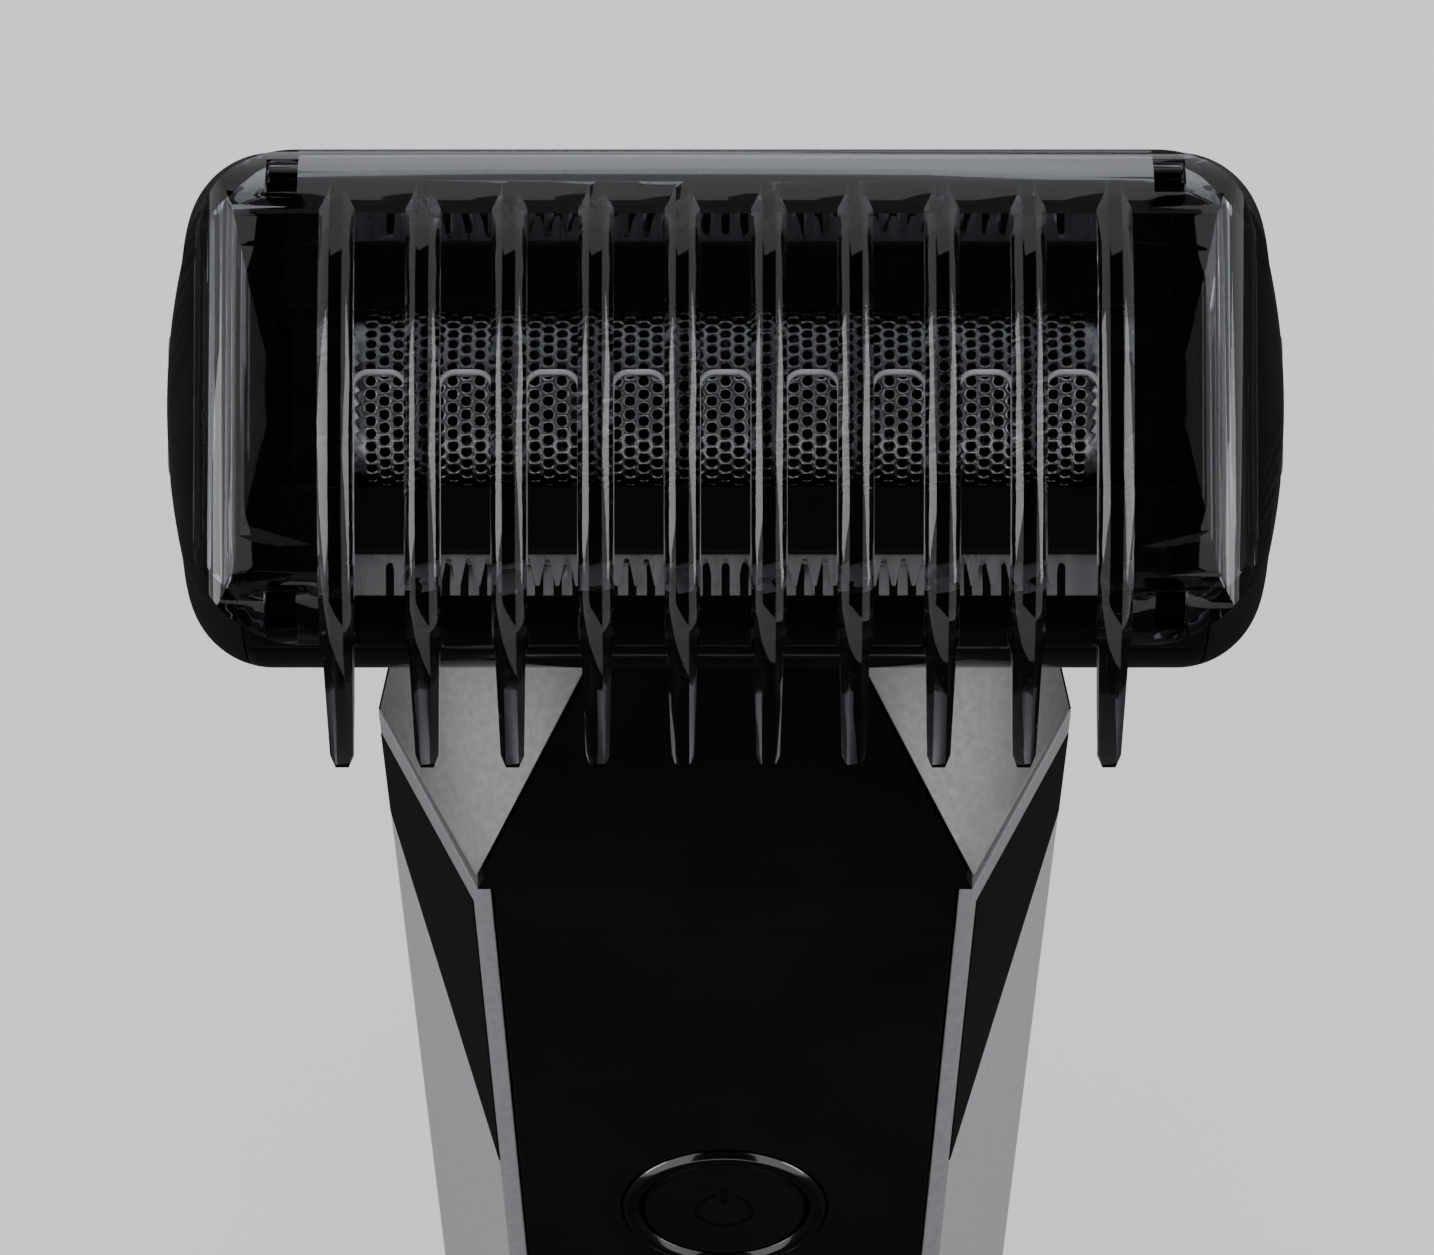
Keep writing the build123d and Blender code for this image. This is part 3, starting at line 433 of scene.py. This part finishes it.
def slot_rim_highlights():
    """A rounded bead round each of the comb's slots along the crown, coloured light grey as a painted
    highlight.
    """
    verts, faces = [], []
    for number in range(SLOTS_ACROSS):
        path = rim_path((number - (SLOTS_ACROSS - 1) / 2) * RIB_PITCH)
        first = len(verts)
        for k, (x, v) in enumerate(path):
            before, after = path[max(k - 1, 0)], path[min(k + 1, len(path) - 1)]
            run = Vector((after[0] - before[0], after[1] - before[1])).normalized()
            crown_w = CROWN - v * v / (2 * CROWN_RADIUS)
            for side in range(RIM_SIDES):
                angle = 2 * math.pi * side / RIM_SIDES
                across = RIM_RADIUS * math.cos(angle)
                rise = RIM_RADIUS * math.sin(angle)
                verts.append(head_point(x + run.y * across, v - run.x * across, crown_w + rise))
        for k in range(len(path) - 1):
            for side in range(RIM_SIDES):
                a = first + k * RIM_SIDES + side
                b = first + k * RIM_SIDES + (side + 1) % RIM_SIDES
                faces.append([a, b, b + RIM_SIDES, a + RIM_SIDES])
        last = first + (len(path) - 1) * RIM_SIDES
        faces.append([first + side for side in reversed(range(RIM_SIDES))])
        faces.append([last + side for side in range(RIM_SIDES)])
    obj = new_object("slot_rim_highlights", verts, faces)
    for polygon in obj.data.polygons:
        polygon.use_smooth = True
    # The bead's light grey is a painted highlight along each slot's edge.
    obj.data.materials.append(MATERIALS["rim_highlight"])
    return obj


rims = slot_rim_highlights()
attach(rims, "comb")

# ------------------------------------------------------------------ floor, lights and camera, in metres

FLOOR_HALF = 12.0
FLAG_Z = 0.002
FLAG_HALF_X = 0.5
FLAG_HALF_UP = 0.9
FLAG_FRONT_Y = -0.9
FLAG_BACK_Y = 0.4
HANDLE_X = 0.018
HANDLE_Y = 0.014
STRIP_X = 0.6
STRIP_Y = -0.08
STRIP_Z = 0.22
STRIP_WIDTH = 0.25
STRIP_HEIGHT = 0.3
STRIP_POWER = 1.0
SKY = (0.9, 0.92, 0.95, 1)
SKY_STRENGTH = 1.15
CAMERA_ELEVATION = math.radians(52)
CAMERA_DISTANCE = 0.350
CAMERA_FLAG_DISTANCE = 0.9
LENS = 164
SENSOR = 36
HEAD_MIDDLE = Vector((0, -0.0076, 0.1525))
AIM_RIGHT = -0.00046
AIM_UP = -0.01227


def flag(name, middle, across, up):
    """A black card that only reflections and refractions see, as in a photographer's studio."""
    corners = [middle - across - up, middle + across - up, middle + across + up, middle - across + up]
    obj = new_object(name, corners, [(0, 1, 2, 3)])
    obj.visible_camera = False
    obj.visible_shadow = False
    obj.visible_diffuse = False
    paint = Paint(name + "_paint")
    paint.colour(paint.noise(8), (0.010, 0.010, 0.010), (0.014, 0.014, 0.014))
    paint.rough(paint.noise(40), 0.8, 0.9)
    obj.data.materials.append(paint.material)


def floor_flag(name, x_span, y_span):
    """A black card lying beside the handle."""
    middle = Vector((sum(x_span) / 2, sum(y_span) / 2, FLAG_Z))
    half_x = (x_span[1] - x_span[0]) / 2
    half_y = (y_span[1] - y_span[0]) / 2
    flag(name, middle, ALONG * half_x, Vector((0, half_y, 0)))


def floor():
    """The plain pale floor."""
    size = FLOOR_HALF
    corners = [(-size, -size, 0), (size, -size, 0), (size, size, 0), (-size, size, 0)]
    obj = new_object("floor", corners, [(0, 1, 2, 3)])
    paint = Paint("floor_paint")
    paint.colour(paint.noise(8), (0.90, 0.90, 0.91), (0.94, 0.94, 0.95))
    paint.rough(paint.noise(40), 0.55, 0.7)
    obj.data.materials.append(paint.material)


def softbox(name, place, target):
    """A soft rectangular light that faces the target."""
    light = bpy.data.lights.new(name, "AREA")
    light.shape = "RECTANGLE"
    light.size = STRIP_WIDTH
    light.size_y = STRIP_HEIGHT
    light.energy = STRIP_POWER
    obj = bpy.data.objects.new(name, light)
    obj.location = place
    obj.rotation_euler = (Vector(target) - Vector(place)).to_track_quat("-Z", "Y").to_euler()
    bpy.context.scene.collection.objects.link(obj)


toward = Vector((0, -math.cos(CAMERA_ELEVATION), math.sin(CAMERA_ELEVATION)))
upward = Vector((0, math.sin(CAMERA_ELEVATION), math.cos(CAMERA_ELEVATION)))

floor()
floor_flag("front_flag", (-FLAG_HALF_X, FLAG_HALF_X), (FLAG_FRONT_Y, -HANDLE_Y))
floor_flag("back_flag", (-FLAG_HALF_X, FLAG_HALF_X), (HANDLE_Y, FLAG_BACK_Y))
floor_flag("left_flag", (-FLAG_HALF_X, -HANDLE_X), (-HANDLE_Y, HANDLE_Y))
floor_flag("right_flag", (HANDLE_X, FLAG_HALF_X), (-HANDLE_Y, HANDLE_Y))
face = head_point(0, 0, 10)
flag("camera_flag", face + toward * CAMERA_FLAG_DISTANCE, ALONG * FLAG_HALF_X, upward * FLAG_HALF_UP)
softbox("left_strip", (-STRIP_X, STRIP_Y, STRIP_Z), face)
softbox("right_strip", (STRIP_X, STRIP_Y, STRIP_Z), face)

world = bpy.data.worlds.new("studio")
bpy.context.scene.world = world
world.use_nodes = True
world.node_tree.nodes["Background"].inputs["Color"].default_value = SKY
world.node_tree.nodes["Background"].inputs["Strength"].default_value = SKY_STRENGTH

aim = HEAD_MIDDLE + ALONG * AIM_RIGHT + upward * AIM_UP
camera = bpy.data.objects.new("camera", bpy.data.cameras.new("camera"))
camera.data.lens = LENS
camera.data.sensor_width = SENSOR
camera.data.clip_start = 0.01
camera.data.clip_end = 20
camera.location = aim + toward * CAMERA_DISTANCE
camera.rotation_mode = "QUATERNION"
camera.rotation_quaternion = (-toward).to_track_quat("-Z", "Y")
bpy.context.scene.collection.objects.link(camera)
bpy.context.scene.camera = camera
